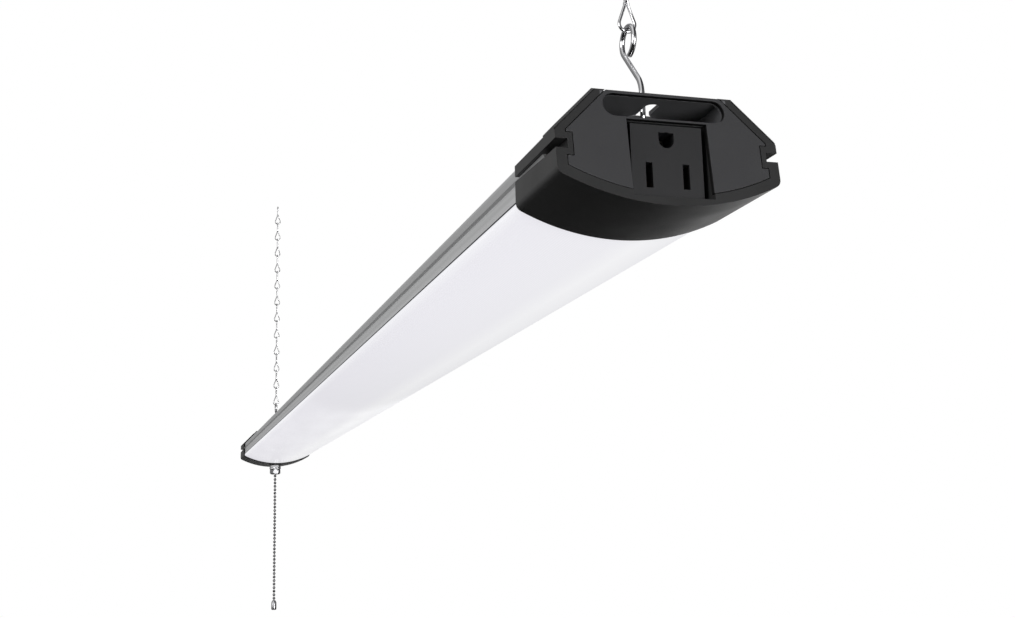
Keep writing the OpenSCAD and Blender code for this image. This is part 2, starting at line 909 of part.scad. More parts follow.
module driver_tray() {
    w = driver_w + 2 * (tray_t + fit_gap);
    l = driver_len + 2 * (tray_t + fit_gap);
    color("white")
        translate([driver_x, tray_y, web_top_z]) difference() {
            box([0, -w / 2, 0], [l, w / 2, tray_h]);
            box([-cut, -w / 2 + tray_t, tray_t], [l + cut, w / 2 - tray_t, tray_h + cut]);
        }
}

driver_board_z = web_top_z + tray_t + standoff_h;

module driver_board() {
    x = driver_x + tray_t + fit_gap;
    color("darkgreen") {
        translate([x, tray_y, driver_board_z])
            box([0, -driver_w / 2, 0], [driver_len, driver_w / 2, driver_board_t]);
        for (share = standoff_shares, side = [-1, 1])
            translate([x + driver_len * share, tray_y + side * standoff_y,
                       driver_board_z - standoff_h])
                cylinder(d = standoff_d, h = standoff_h);
    }
}

module on_driver(along_share, y) {
    translate([driver_x + tray_t + fit_gap + driver_len * along_share, tray_y + y,
               driver_board_z + driver_board_t])
        children();
}

// A block of a given size that stands on its middle
module block_on(size) {
    translate([-size.x / 2, -size.y / 2, 0]) cube(size);
}

module driver_transformer() {
    color("gold") on_driver(transformer_share, 0) {
        block_on(core_size);
        translate([0, 0, core_size.z]) block_on(coil_size);
    }
}

module driver_capacitors() {
    color("midnightblue")
        for (i = [0 : len(capacitor_shares) - 1])
            on_driver(capacitor_shares[i], capacitor_y[i])
                cylinder(d = capacitor_d, h = capacitor_h);
}

module driver_chips() {
    color("black") {
        on_driver(chip_share, 0) block_on(chip_size);
        on_driver(bridge_share, bridge_y) block_on(bridge_size);
    }
}

module terminal_block() {
    color("ivory")
        translate([terminal_x, 0, web_top_z])
            box([0, terminal_y - terminal_w / 2, 0],
                [terminal_len, terminal_y + terminal_w / 2, terminal_h]);
}

// One of the wires that run from the terminal block to a contact's tab at y and z
module supply_wire(i, y, z) {
    x1 = face_x + block_x - block_depth - tab_len;
    wire([[terminal_x + terminal_len, wire_y[i], lamp_z + wire_z],
          [x1 - wire_drop_len, wire_y[i], lamp_z + wire_z],
          [x1 - wire_tail_len, y, lamp_z + z],
          [x1, y, lamp_z + z]], wire_d);
}

module line_wire() {
    color("black") supply_wire(0, blade_pitch / 2, blade_top - blade_h / 2);
}

module ground_wire() {
    color("green") supply_wire(1, 0, (ground_top + ground_foot) / 2);
}

module neutral_wire() {
    color("white") supply_wire(2, -blade_pitch / 2, blade_top - blade_h / 2);
}

// The two leads from the terminal block to the driver's board
module driver_leads() {
    z = driver_board_z + driver_board_t + lead_d / 2;
    color("black")
        for (side = [-1, 1])
            rod([terminal_x + terminal_len, lead_y + side * lead_pitch / 2, z],
                [driver_x + driver_lead_lap, lead_y + side * lead_pitch / 2, z], lead_d);
}

// The leads from the driver through the web to the two light boards
module board_leads() {
    z = driver_board_z + driver_board_t + lead_d / 2;
    x0 = driver_x + driver_len - driver_lead_lap;
    color("red")
        for (side = [-1, 1])
            wire([[x0, tray_y + side * lead_pitch, z],
                  [board_hole_x, side * board_hole_y, z],
                  [board_hole_x, side * board_hole_y, lamp_z + web_z]], lead_d);
}

// The two leads from the pull switch to the terminal block
module switch_leads() {
    color("black")
        for (side = [-1, 1]) translate([0, lead_y + side * lead_pitch / 2, lamp_z + wire_z])
            rod([pull_x + switch_l / 2, 0, 0], [terminal_x, 0, 0], lead_d);
}

// Pull switch

module at_pull(z) {
    translate([pull_x, 0, lamp_z + z]) children();
}

module switch_body() {
    inner = [switch_l / 2 - switch_wall, switch_w / 2 - switch_wall];
    color([0.15, 0.15, 0.15])
        at_pull(switch_z) difference() {
            box([-switch_l / 2, -switch_w / 2, 0], [switch_l / 2, switch_w / 2, switch_h]);
            box([-inner.x, -inner.y, switch_wall], [inner.x, inner.y, switch_h - switch_wall]);
            translate([0, 0, -cut]) cylinder(d = bushing_bore_d, h = switch_wall + 2 * cut);
        }
}

module switch_bushing() {
    h = switch_z - nozzle_z;
    color("lightgray")
        at_pull(nozzle_z) difference() {
            union() {
                cylinder(d = collar_d, h = collar_h);
                cylinder(d = bushing_d, h = h);
            }
            translate([0, 0, -cut]) cylinder(d = bushing_bore_d, h = h + 2 * cut);
        }
}

module switch_nut() {
    color("lightgray")
        at_pull(-belly_h - nut_h) difference() {
            cylinder(d = nut_d, h = nut_h);
            translate([0, 0, -cut]) cylinder(d = bushing_d + 2 * fit_gap, h = nut_h + 2 * cut);
        }
}

module switch_lock_nut() {
    color("silver")
        at_pull(switch_z - lock_nut_h) difference() {
            cylinder(d = lock_nut_d, h = lock_nut_h, $fn = 6);
            translate([0, 0, -cut])
                cylinder(d = bushing_d + 2 * fit_gap, h = lock_nut_h + 2 * cut);
        }
}

// The stem that the chain pulls, with a head that stays above the switch's floor at full travel
module pull_stem() {
    head_z = switch_z + switch_wall + pull_travel + fit_gap;
    color("lightgray") {
        at_pull(nozzle_z - stem_out)
            cylinder(d = stem_d, h = head_z - nozzle_z + stem_out + stem_head_h / 2);
        at_pull(head_z) cylinder(d = stem_head_d, h = stem_head_h);
    }
}

module top_bead() {
    color("silver") at_pull(bead_z) sphere(d = bead_d);
}

module pull_chain() {
    run = (bead_count - 1) * bead_pitch;
    color("silver") at_pull(bead_z - bead_pitch) {
        for (i = [0 : bead_count - 1]) translate([0, 0, -i * bead_pitch]) sphere(d = bead_d);
        translate([0, 0, -run - bead_pitch / 2])
            cylinder(r = chain_wire_r, h = run + bead_pitch / 2 + bead_pitch - bead_d / 2 - bead_gap);
    }
}

module chain_fob() {
    color("silver") at_pull(bead_z - bead_count * bead_pitch - bead_pitch / 2 - fob_h) {
        cylinder(d = fob_d, h = fob_h - fob_neck_h);
        cylinder(d = fob_neck_d, h = fob_h);
    }
}

links(0, 1, 1);  // near_top_link
links(0, 2, 2);  // near_second_link
links(0, 3, link_count);  // near_chain
links(far_x, 1, 1);  // far_top_link
links(far_x, 2, 2);  // far_second_link
links(far_x, 3, link_count);  // far_chain
near_hook();
far_hook();
outlet_cap();
outlet_face_plate();
outlet_block();
line_contact();
neutral_contact();
ground_contact();
switch_cap();
switch_face_plate();
cord_bushing();
outlet_cap_screws();
switch_cap_screws();
channel();
cover();
front_light_board();
back_light_board();
front_leds();
back_leds();
board_screws();
driver_tray();
driver_board();
driver_transformer();
driver_capacitors();
driver_chips();
terminal_block();
line_wire();
neutral_wire();
ground_wire();
driver_leads();
board_leads();
switch_leads();
switch_body();
switch_bushing();
switch_nut();
switch_lock_nut();
pull_stem();
top_bead();
pull_chain();
chain_fob();
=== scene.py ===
"""A hanging shop light: ribbed milky cover on an aluminium channel, two black caps, wire hooks,
jack chains and a pull switch. Metres throughout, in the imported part's own frame."""

import json
import math

import bmesh
import bpy
from mathutils import Matrix, Vector


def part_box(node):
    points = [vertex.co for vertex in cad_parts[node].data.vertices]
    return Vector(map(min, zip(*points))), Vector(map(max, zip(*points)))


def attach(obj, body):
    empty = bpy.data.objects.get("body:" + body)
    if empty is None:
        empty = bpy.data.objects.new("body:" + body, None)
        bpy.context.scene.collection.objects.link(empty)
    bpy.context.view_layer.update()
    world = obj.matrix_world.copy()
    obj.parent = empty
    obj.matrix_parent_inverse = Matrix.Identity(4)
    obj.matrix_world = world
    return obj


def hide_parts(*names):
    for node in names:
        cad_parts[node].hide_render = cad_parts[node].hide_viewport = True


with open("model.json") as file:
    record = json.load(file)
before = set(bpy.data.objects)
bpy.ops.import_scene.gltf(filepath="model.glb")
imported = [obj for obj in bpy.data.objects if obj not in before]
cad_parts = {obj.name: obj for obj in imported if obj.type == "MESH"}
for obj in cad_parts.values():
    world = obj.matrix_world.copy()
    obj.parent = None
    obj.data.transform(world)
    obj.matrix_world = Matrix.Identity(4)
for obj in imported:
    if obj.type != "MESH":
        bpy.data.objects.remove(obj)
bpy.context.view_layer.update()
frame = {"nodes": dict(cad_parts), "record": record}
scene = bpy.context.scene
scene.view_settings.view_transform = "Standard"


# Camera. The photograph was taken from just off the outlet end, a little in front of the lamp and
# below it, with a normal lens, so the lamp runs away to the lower left.
lens = bpy.data.cameras.new("camera")
lens.lens = 43.787
lens.sensor_width = 36
lens.clip_start = 0.01
camera = bpy.data.objects.new("camera", lens)
scene.collection.objects.link(camera)
scene.camera = camera
stand = (0.37012, -0.15837, -0.41611)
look_back = Vector((0.93937, -0.28547, -0.18999)).normalized()
look_up = Vector((0.1895, -0.02961, 0.98143)).normalized()
look_right = look_up.cross(look_back).normalized()
look_up = look_back.cross(look_right)
aim = Matrix((look_right, look_up, look_back)).transposed()
camera.matrix_world = Matrix.Translation(stand) @ aim.to_4x4()


# Aluminium channel. One extrusion carries everything: a flat top, sloping shoulders and upright
# sides with a fine groove along each. It is drawn through a die, so its grain runs lengthwise.
class Value:
    """A node's output, with the operators that node maths needs."""

    def __init__(self, nodes, socket):
        self.nodes, self.socket = nodes, socket

    def maths(self, operation, first, second):
        return self.nodes.node(
            "ShaderNodeMath", {"operation": operation}, **{"0": first, "1": second}
        )

    def __add__(self, other):
        return self.maths("ADD", self, other)

    __radd__ = __add__

    def __sub__(self, other):
        return self.maths("SUBTRACT", self, other)

    def __rsub__(self, other):
        return self.maths("SUBTRACT", other, self)

    def __mul__(self, other):
        return self.maths("MULTIPLY", self, other)

    __rmul__ = __mul__

    def __truediv__(self, other):
        return self.maths("DIVIDE", self, other)


class Nodes:
    """A node tree that is built from Python expressions."""

    def __init__(self, tree):
        self.tree = tree

    def link(self, socket, value):
        if isinstance(value, Value):
            self.tree.links.new(value.socket, socket)
        else:
            if socket.type == "RGBA" and len(value) == 3:
                value = (*value, 1)
            socket.default_value = value

    def node(self, kind, settings=None, output=0, **inputs):
        made = self.tree.nodes.new(kind)
        for name, value in (settings or {}).items():
            if name == "stops":
                ramp = made.color_ramp
                while len(ramp.elements) < len(value):
                    ramp.elements.new(0.5)
                for element, (position, colour) in zip(ramp.elements, value):
                    element.position, element.color = position, (*colour, 1)
            else:
                setattr(made, name, value)
        for name, value in inputs.items():
            key = int(name) if name.isdigit() else name.replace("_", " ")
            self.link(made.inputs[key], value)
        return Value(self, made.outputs[output])


class Finish(Nodes):
    """A surface finish: one Principled shader and what drives it."""

    def __init__(self, name, **surface):
        self.material = bpy.data.materials.new(name)
        self.material.use_nodes = True
        super().__init__(self.material.node_tree)
        self.surface = self.tree.nodes["Principled BSDF"]
        self.place = self.node("ShaderNodeTexCoord", output="Object")
        self.set(**surface)

    def set(self, **surface):
        for name, value in surface.items():
            self.link(self.surface.inputs[name.replace("_", " ")], value)

    def axis(self, number):
        """Where a point lies along X, Y or Z, which are 0, 1 and 2."""
        return self.node("ShaderNodeSeparateXYZ", output=number, Vector=self.place)

    def stretched(self, x, y, z):
        return self.node("ShaderNodeMapping", Vector=self.place, Scale=(x, y, z))

    def noise(self, where, scale, detail=3, roughness=0.5):
        return self.node(
            "ShaderNodeTexNoise", Vector=where, Scale=scale, Detail=detail, Roughness=roughness
        )

    def between(self, share, first, second):
        colours = {"0": share, "6": first, "7": second}
        return self.node("ShaderNodeMix", {"data_type": "RGBA"}, output=2, **colours)

    def spread(self, value, low, high, to_low, to_high):
        return self.node(
            "ShaderNodeMapRange",
            Value=value, From_Min=low, From_Max=high, To_Min=to_low, To_Max=to_high,
        )

    def relief(self, height, depth, strength=1.0):
        return self.node("ShaderNodeBump", Height=height, Distance=depth, Strength=strength)

    def on(self, obj):
        obj.data.materials.clear()
        obj.data.materials.append(self.material)
        return obj


MM = 0.001
bodies = frame["record"]["behaviour"]["bodies"]
body_of = {node: body for body, nodes in bodies.items() for node in nodes}


def placed(name, mesh, finish, *nodes):
    """Puts a finished mesh in the scene in place of CAD nodes and rides it on their body."""
    piece = bpy.data.objects.new(name, mesh)
    scene.collection.objects.link(piece)
    finish.on(piece)
    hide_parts(*nodes)
    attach(piece, body_of[nodes[0]])
    return piece


def plain_mesh(piece, name):
    """The evaluated shape of a working object as a mesh of its own; the object goes."""
    bpy.context.view_layer.update()
    graph = bpy.context.evaluated_depsgraph_get()
    mesh = bpy.data.meshes.new_from_object(piece.evaluated_get(graph), depsgraph=graph)
    mesh.name = name
    bpy.data.objects.remove(piece)
    return mesh


def eased(name, node, finish, width, segments=2):
    """A copy of a CAD node whose edges are broken by a small round, as every real edge is."""
    shape = bmesh.new()
    shape.from_mesh(frame["nodes"][node].data)
    bmesh.ops.remove_doubles(shape, verts=shape.verts, dist=0.002 * MM)
    bmesh.ops.dissolve_limit(
        shape, angle_limit=math.radians(0.5), verts=shape.verts, edges=shape.edges,
        delimit={"NORMAL"},
    )
    for face in shape.faces:
        face.smooth = True
    mesh = bpy.data.meshes.new(name)
    shape.to_mesh(mesh)
    shape.free()
    piece = bpy.data.objects.new(name, mesh)
    scene.collection.objects.link(piece)
    rounding = piece.modifiers.new("eased", "BEVEL")
    rounding.width, rounding.segments = width * MM, segments
    rounding.limit_method, rounding.angle_limit = "ANGLE", math.radians(28)
    rounding.harden_normals = True
    flatness = piece.modifiers.new("flat faces", "WEIGHTED_NORMAL")
    flatness.weight = 100
    return placed(name, plain_mesh(piece, name), finish, node)


aluminium = Finish("drawn aluminium", Metallic=1.0)
grain = aluminium.noise(aluminium.stretched(0.02, 1, 1), 2600, 4, 0.6)
streaks = aluminium.noise(aluminium.stretched(0.01, 1, 1), 420, 2)
foot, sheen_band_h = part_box("channel")[0][2], 12
height = aluminium.axis(2)
# the painted sheen and shade by height, drawn below as a ramp from the bright foot over the dull
# groove to the bright shoulder
sheen_bands = ((0.1, 1.0), (0.24, 0.87), (0.36, 0.95), (0.5, 0.71), (0.83, 0.73), (0.93, 0.95))
drawn = aluminium.node(
    "ShaderNodeValToRGB",
    {"stops": [(at, (0.985 * tone, 0.993 * tone, tone)) for at, tone in sheen_bands]},
    Fac=aluminium.spread(height, foot, foot + sheen_band_h * MM, 0, 1),
)
aluminium.set(
    Base_Color=aluminium.between(
        aluminium.spread(grain + streaks, 0.7, 1.3, 0, 0.2), drawn, (0.4, 0.4, 0.41)
    ),
    Roughness=aluminium.spread(grain, 0.3, 0.7, 0.36, 0.46),
    Normal=aluminium.relief(grain, 0.00002),
)
eased("channel_extrusion", "channel", aluminium, 0.18)


# Light boards and driver. Two white boards of LEDs are screwed under the channel's web, and the
# driver and its wiring lie in a tray on top of it. None of it shows once the cover is on.
def inner_finish(name, colour, roughness, metallic=0.0, scale=900):
    """A plain moulded, painted or plated surface, a little cloudy."""
    finish = Finish(name, Metallic=metallic)
    cloud = finish.noise(finish.place, scale)
    shade = tuple(0.85 * channel for channel in colour)
    finish.set(
        Base_Color=finish.between(cloud, colour, shade),
        Roughness=finish.spread(cloud, 0.3, 0.7, roughness - 0.06, roughness + 0.06),
        Normal=finish.relief(cloud, 0.00003),
    )
    return finish


for finish, nodes in (
    (inner_finish("white board", (0.86, 0.86, 0.84), 0.4),
     ("front_light_board", "back_light_board")),
    (inner_finish("LED phosphor", (0.93, 0.82, 0.36), 0.35), ("front_leds", "back_leds")),
    (inner_finish("plated screw", (0.62, 0.62, 0.63), 0.3, 1.0), ("board_screws",)),
    (inner_finish("insulating tray", (0.82, 0.82, 0.8), 0.5), ("driver_tray",)),
    (inner_finish("green circuit board", (0.03, 0.2, 0.07), 0.35), ("driver_board",)),
    (inner_finish("winding tape", (0.72, 0.52, 0.08), 0.5), ("driver_transformer",)),
    (inner_finish("capacitor sleeve", (0.02, 0.03, 0.12), 0.3), ("driver_capacitors",)),
    (inner_finish("moulded chips", (0.02, 0.02, 0.02), 0.55), ("driver_chips",)),
    (inner_finish("terminal block", (0.8, 0.77, 0.68), 0.45), ("terminal_block",)),
    (inner_finish("black insulation", (0.02, 0.02, 0.02), 0.45),
     ("line_wire", "driver_leads", "switch_leads")),
    (inner_finish("white insulation", (0.82, 0.82, 0.8), 0.45), ("neutral_wire",)),
    (inner_finish("green insulation", (0.03, 0.3, 0.07), 0.45), ("ground_wire",)),
    (inner_finish("red insulation", (0.5, 0.03, 0.03), 0.45), ("board_leads",)),
    (inner_finish("switch case", (0.03, 0.03, 0.03), 0.45), ("switch_body",)),
):
    for node in nodes:
        finish.on(frame["nodes"][node])


# Milky cover. A thin plastic extrusion, bowed across the lamp, that slides into the channel's
# lower edges. Fine ribs run its whole length and spread the light of the LEDs behind it.
half_w, belly_r, belly_h, corner_r = 37.95, 82.0, 17.2, 3.0
cap_over, cover_t, rib_pitch, rib_depth = 1.5, 1.5, 1.0, 0.03
body_half, belly_z = half_w - cap_over, belly_r - belly_h
lamp_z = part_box("cover")[0][2] / MM + belly_h - cap_over


def bowed(inset, rib=0.0, steps=420):
    """Y and Z from the left upper edge of the cover, round the belly, to the right one."""
    radius = max(corner_r - inset, 0.2)
    corner_y = half_w - inset - radius
    corner_z = belly_z - math.sqrt((belly_r - inset - radius) ** 2 - corner_y**2)
    start = math.pi + math.atan((belly_z - corner_z) / corner_y)
    left = [
        (-corner_y + radius * math.cos(turn), corner_z + radius * math.sin(turn))
        for turn in (math.pi + (start - math.pi) * i / 8 for i in range(9))
    ]
    span = 3 * math.pi - 2 * start
    belly = []
    for i in range(1, steps):
        turn = start + span * i / steps
        arc = (turn - 1.5 * math.pi) * belly_r
        reach = belly_r - inset - rib * (0.5 - 0.5 * math.cos(2 * math.pi * arc / rib_pitch))
        belly.append((reach * math.cos(turn), belly_z + reach * math.sin(turn)))
    return left + belly + [(-y, z) for y, z in reversed(left)]


edge_z, shoulder_z, leg_z = -4.7, -6.2, -1.2
leg_out, leg_in, root = body_half - 2.1, body_half - 3.4, body_half - 1.8
outside = [(-body_half, edge_z)] + bowed(cap_over, rib=rib_depth) + [(body_half, edge_z)]
inside = [(y, z) for y, z in bowed(cap_over + cover_t, steps=60) if z < shoulder_z - 0.05]
ledge = [(leg_out, edge_z), (leg_out, leg_z), (leg_in, leg_z), (leg_in, shoulder_z),
         (root, shoulder_z)]
section = outside + ledge + inside[::-1] + [(-y, z) for y, z in reversed(ledge)]
(cover_low, _, _), (cover_high, _, _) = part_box("cover")
cover_mesh = bpy.data.meshes.new("milky_cover")
shape = bmesh.new()
ends = [
    [shape.verts.new((x, y * MM, (z + lamp_z) * MM)) for y, z in section]
    for x in (cover_low, cover_high)
]
for i in range(len(section)):
    j = (i + 1) % len(section)
    side = shape.faces.new((ends[0][i], ends[0][j], ends[1][j], ends[1][i]))
    side.smooth = i < len(outside) - 1
shape.faces.new(ends[0][::-1])
shape.faces.new(ends[1])
bmesh.ops.recalc_face_normals(shape, faces=shape.faces)
shape.to_mesh(cover_mesh)
shape.free()
milky = Finish("milky plastic", Specular_IOR_Level=0.15, IOR=1.49, Emission_Strength=0.875)
across, height = milky.axis(1), milky.axis(2)
# Painted shadow: along the cover's top edges, where it meets the channel, and up its hidden legs,
# colour and glow are painted near black as the seam's shadow.
seam_shadow_start, seam_shadow_full = lamp_z + edge_z - 0.45, lamp_z + edge_z - 0.2
seam_shadow = milky.spread(height, seam_shadow_start * MM, seam_shadow_full * MM, 0, 1)
lit_half = 37.8
# The LEDs' light across the cover, with painted light in it: the paler strip at the left edge is a
# painted highlight, and the lighter band right of the middle and the darker right edge are painted
# reflection.
glow_and_painted_reflection = milky.node(
    "ShaderNodeValToRGB",
    {"stops": [(0.0, (0.92, 0.92, 0.95)), (0.06, (0.84, 0.83, 0.88)), (0.5, (0.84, 0.835, 0.87)),
               (0.66, (0.89, 0.89, 0.905)), (1.0, (0.8, 0.8, 0.82))]},
    Fac=milky.spread(across, -lit_half * MM, lit_half * MM, 0, 1),
)
haze = milky.noise(milky.stretched(0.2, 1, 1), 60, 2)
rib_turn = across * (2 * math.pi / (rib_pitch * MM))
ribs = milky.node("ShaderNodeMath", {"operation": "SINE"}, **{"0": rib_turn})
ribbed = milky.between(milky.spread(ribs, -1, 1, 0, 0.035), glow_and_painted_reflection, (0.5, 0.5, 0.54))
plain = milky.between(haze, (0.12, 0.12, 0.125), (0.14, 0.14, 0.145))
milky.set(
    Base_Color=milky.between(seam_shadow, plain, (0.01, 0.01, 0.011)),
    Emission_Color=milky.between(seam_shadow, ribbed, (0.012, 0.012, 0.016)),
    Roughness=milky.spread(haze, 0.3, 0.7, 0.34, 0.42),
)
placed("milky_cover", cover_mesh, milky, "cover")


# End caps. Black mouldings that close both ends: a sleeve over the extrusion, a fuller band behind
# the leaning face, a slot along each side, and a pocket in the top that the hook drops into.
def moulding(name, tone, specular):
    """Black moulded plastic; inside the pocket it is painted paler, as painted light standing in for
    the light that falls in there.
    """
    black = Finish(name, Specular_IOR_Level=specular)
    pores = black.noise(black.place, 2600, 2, 0.6)
    cloud = black.noise(black.place, 60, 3)
    across, height = black.axis(1), black.axis(2)
    # painted light: the pocket, between its side walls and from its floor to its roof, is painted
    # pale grey instead of black
    side, side_end = 21.6 * MM, 21.9 * MM
    floor_start, floor_end = lamp_z + 11.6, lamp_z + 12.2
    roof_start, roof_end = lamp_z + 20.4, lamp_z + 20.8
    within = black.spread(across * across, side**2, side_end**2, 1, 0)
    above = black.spread(height, floor_start * MM, floor_end * MM, 0, 1)
    below = black.spread(height, roof_start * MM, roof_end * MM, 1, 0)
    cap_tone = black.between(cloud, (tone, tone, tone), (tone * 1.25, tone * 1.25, tone * 1.27))
    black.set(
        Base_Color=black.between(within * above * below, cap_tone, (0.1, 0.1, 0.105)),
        Roughness=black.spread(cloud, 0.3, 0.7, 0.36, 0.44),
        Normal=black.relief(pores, 0.000015, 0.6),
    )
    return black


eased("outlet_cap_shell", "outlet_cap", moulding("moulded black", 0.022, 0.3), 0.28)
# The far cap is a copy of the same moulding painted darker and less glossy, as painted shade at the
# far end.
eased("switch_cap_shell", "switch_cap", moulding("far moulded black", 0.006, 0.15), 0.28)


# Face plates. A thin plate snaps into each cap's leaning front, with a fine gap all round. It has
# the long opening for the hook, and the outlet's window or the supply cord's hole.
face_x, face_lean = 29.14, math.tan(math.radians(7.5))
plate_grey = Finish("textured plate", Specular_IOR_Level=0.3)
pits = plate_grey.node(
    "ShaderNodeTexVoronoi", {"feature": "F1"}, Vector=plate_grey.place, Scale=1500
)
along, height = plate_grey.axis(0), plate_grey.axis(2)
# painted shade: the walls of the openings, which lie behind the plate's skin, are painted near
# black, darker than its face
behind = face_x * MM - (height - lamp_z * MM) * face_lean - along
skin, skin_end, wall_start, wall_end = 0.45 * MM, 0.6 * MM, 8 * MM, 9 * MM
wall_shade = plate_grey.spread(behind, skin, skin_end, 0, 1) * plate_grey.spread(
    behind, wall_start, wall_end, 1, 0
)
face = plate_grey.between(
    plate_grey.noise(plate_grey.place, 90, 3), (0.030, 0.030, 0.032), (0.036, 0.036, 0.038)
)
plate_grey.set(
    Base_Color=plate_grey.between(wall_shade, face, (0.002, 0.002, 0.002)),
    Roughness=plate_grey.spread(pits, 0.1, 0.7, 0.46, 0.56),
    Normal=plate_grey.relief(pits, 0.00003, 0.5),
)
eased("outlet_front_plate", "outlet_face_plate", plate_grey, 0.2)
eased("switch_front_plate", "switch_face_plate", plate_grey, 0.2)


# Outlet. A moulded block sits a little behind the plate's window, with two blade slots and a
# round-footed ground hole. Brass contacts wait inside, the ground one tinned.
block_grey = Finish("outlet block", Specular_IOR_Level=0.25)
pits = block_grey.noise(block_grey.place, 1800, 2)
block_grey.set(
    Base_Color=block_grey.between(
        block_grey.noise(block_grey.place, 120, 2), (0.0095, 0.0095, 0.0105), (0.012, 0.012, 0.013)
    ),
    Roughness=block_grey.spread(pits, 0.3, 0.7, 0.42, 0.5),
    Normal=block_grey.relief(pits, 0.00002, 0.5),
)
eased("outlet_insert", "outlet_block", block_grey, 0.15)
brass = inner_finish("spring brass", (0.7, 0.5, 0.2), 0.3, 1.0)
for node in ("line_contact", "neutral_contact"):
    brass.on(frame["nodes"][node])
inner_finish("tinned bronze", (0.2, 0.19, 0.17), 0.45, 1.0).on(frame["nodes"]["ground_contact"])


# Cap screws and cord bushing. Dark pan-head screws hold each cap to the channel, and a soft
# bushing in the far plate lines the hole for the supply cord.
dark_screw = inner_finish("dark plated screw", (0.1, 0.1, 0.105), 0.35, 1.0, scale=1500)
eased("outlet_cap_fixings", "outlet_cap_screws", dark_screw, 0.5, 3)
eased("switch_cap_fixings", "switch_cap_screws", dark_screw, 0.5, 3)
soft_black = inner_finish("soft black", (0.02, 0.02, 0.02), 0.6)
eased("supply_bushing", "cord_bushing", soft_black, 0.5, 3)


# Pull switch. Its neck comes down through the cap in a ribbed ring and a six-sided nut, and small
# hollow steel beads, strung on wire, hang from the stem and end in a turned weight.
nickel = Finish("polished nickel", Metallic=1.0, Specular_Tint=(0.35, 0.35, 0.36))
wear = nickel.noise(nickel.place, 1400, 3)
nickel.set(
    Base_Color=nickel.between(wear, (0.42, 0.42, 0.43), (0.34, 0.34, 0.35)),
    Roughness=nickel.spread(wear, 0.3, 0.7, 0.32, 0.42),
)
dark_steel = inner_finish("dark bead steel", (0.2, 0.2, 0.205), 0.22, 1.0, scale=1600)


class Former(Nodes):
    """A Geometry Nodes tree with named inputs for its sizes."""

    def __init__(self, name, **sizes):
        super().__init__(bpy.data.node_groups.new(name, "GeometryNodeTree"))
        face = self.tree.interface
        face.new_socket("Geometry", in_out="INPUT", socket_type="NodeSocketGeometry")
        kinds = {int: "NodeSocketInt", float: "NodeSocketFloat", tuple: "NodeSocketVector"}
        self.values = {}
        for size, value in sizes.items():
            socket = face.new_socket(size, in_out="INPUT", socket_type=kinds[type(value)])
            self.values[socket.identifier] = value
        face.new_socket("Geometry", in_out="OUTPUT", socket_type="NodeSocketGeometry")
        start = self.tree.nodes.new("NodeGroupInput")
        self.drawn = Value(self, start.outputs["Geometry"])
        self.size = {size: Value(self, start.outputs[size]) for size in sizes}

    def tube(self, path, thickness, sides):
        section = self.node(
            "GeometryNodeCurvePrimitiveCircle", Resolution=sides, Radius=thickness / 2
        )
        return self.node(
            "GeometryNodeCurveToMesh", Curve=path, Profile_Curve=section, Fill_Caps=True
        )

    def row(self, piece, count, step):
        spots = self.node("GeometryNodeMeshLine", Count=count, Offset=step)
        return self.node("GeometryNodeInstanceOnPoints", Points=spots, Instance=piece)

    def both(self, first, second):
        joined = self.node("GeometryNodeJoinGeometry", Geometry=second)
        self.tree.links.new(first.socket, joined.socket.node.inputs["Geometry"])
        return joined

    def finished(self, name, points, edges, finish, result):
        """Ends the tree, runs it on the drawn points, in millimetres, and keeps the plain mesh."""
        whole = self.node("GeometryNodeRealizeInstances", Geometry=result)
        smooth = self.node("GeometryNodeSetShadeSmooth", Geometry=whole)
        coated = self.node("GeometryNodeSetMaterial", Geometry=smooth, Material=finish.material)
        end = self.tree.nodes.new("NodeGroupOutput")
        self.tree.links.new(coated.socket, end.inputs["Geometry"])
        drawing = bpy.data.meshes.new(name + "_drawing")
        drawing.from_pydata([tuple(c * MM for c in point) for point in points], edges, [])
        work = bpy.data.objects.new(name + "_work", drawing)
        scene.collection.objects.link(work)
        form = work.modifiers.new(name, "NODES")
        form.node_group = self.tree
        for key, value in self.values.items():
            form[key] = value
        return plain_mesh(work, name)


nut_low, nut_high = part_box("switch_nut")
neck_low, neck_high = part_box("switch_bushing")
bead_low, bead_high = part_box("top_bead")
pull_x = (nut_low[0] + nut_high[0]) / 2 / MM
nut_foot, nut_top = nut_low[2] / MM, nut_high[2] / MM
neck_foot, neck_top = neck_low[2] / MM, neck_high[2] / MM
bead_z = (bead_low[2] + bead_high[2]) / 2 / MM
bead_d, bead_pitch, bead_count = 3.2, 4.0, 35
knurl_depth, knurl_count, knurl_from, nut_flat, hex_from = 0.22, 30, 5.5, 6.1, 5.05


def turned(name, profile, sides, radius_at=None, crease=35):
    """A part turned or formed round the pull's line, from radii and heights in millimetres."""
    shape = bmesh.new()
    rings = []
    for radius, z in profile:
        ring = []
        for i in range(sides):
            turn = 2 * math.pi * i / sides
            reach = radius_at(radius, turn) if radius_at else radius
            ring.append(
                shape.verts.new(
                    ((pull_x + reach * math.cos(turn)) * MM, reach * math.sin(turn) * MM, z * MM)
                )
            )
        rings.append(ring)
    for lower, upper in zip(rings, rings[1:]):
        for i in range(sides):
            j = (i + 1) % sides
            shape.faces.new((lower[i], lower[j], upper[j], upper[i]))
    if profile[0] != profile[-1]:
        shape.faces.new(rings[0][::-1])
        shape.faces.new(rings[-1])
    else:
        bmesh.ops.remove_doubles(shape, verts=shape.verts, dist=0.001 * MM)
    bmesh.ops.recalc_face_normals(shape, faces=shape.faces)
    for face in shape.faces:
        face.smooth = True
    for edge in shape.edges:
        if len(edge.link_faces) == 2:
            edge.smooth = edge.calc_face_angle(0) < math.radians(crease)
    mesh = bpy.data.meshes.new(name)
    shape.to_mesh(mesh)
    shape.free()
    return mesh


